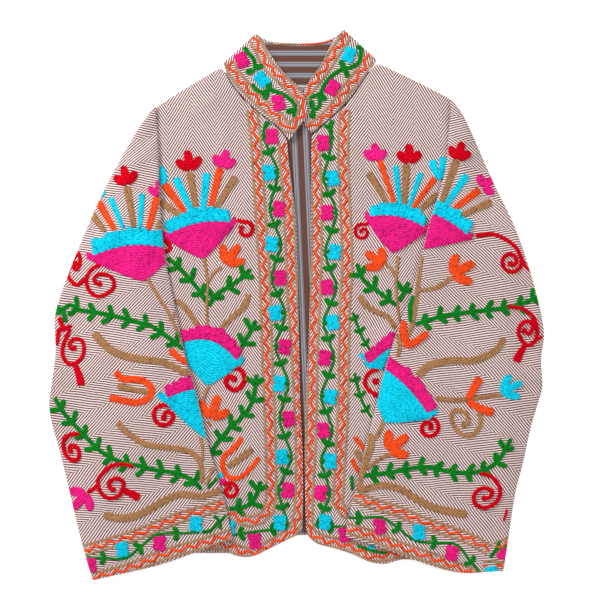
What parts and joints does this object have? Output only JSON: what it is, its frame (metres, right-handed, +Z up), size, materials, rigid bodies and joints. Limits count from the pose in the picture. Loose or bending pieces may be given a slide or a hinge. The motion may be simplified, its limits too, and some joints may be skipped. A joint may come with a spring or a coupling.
{
  "type": "embroidered jacket",
  "caption": "Short herringbone jacket with a stand collar, striped lining and thick wool flower embroidery, lying flat with its sleeves folded down.",
  "frame": {"origin": "on the surface it lies on, under the middle of the jacket's box", "axes": "+X to the right of the jacket as it lies, +Y towards its collar, +Z up from the surface"},
  "size_m": [0.6222, 0.689, 0.0194],
  "materials": {
    "outer_cloth": "matt",
    "lining": "matt",
    "facing": "matt",
    "wool_blue": "matt",
    "wool_pink": "matt",
    "wool_red": "matt",
    "wool_orange": "matt",
    "wool_green": "matt",
    "wool_tan": "matt"
  },
  "bodies": {
    "root": {"back": "outer_cloth", "front_left": "outer_cloth", "front_right": "outer_cloth", "sleeve_left": "outer_cloth", "sleeve_right": "outer_cloth", "collar_back": "outer_cloth", "collar_left": "outer_cloth", "collar_right": "outer_cloth", "back_lining": "lining", "collar_facing": "facing"}
  },
  "joints": []
}
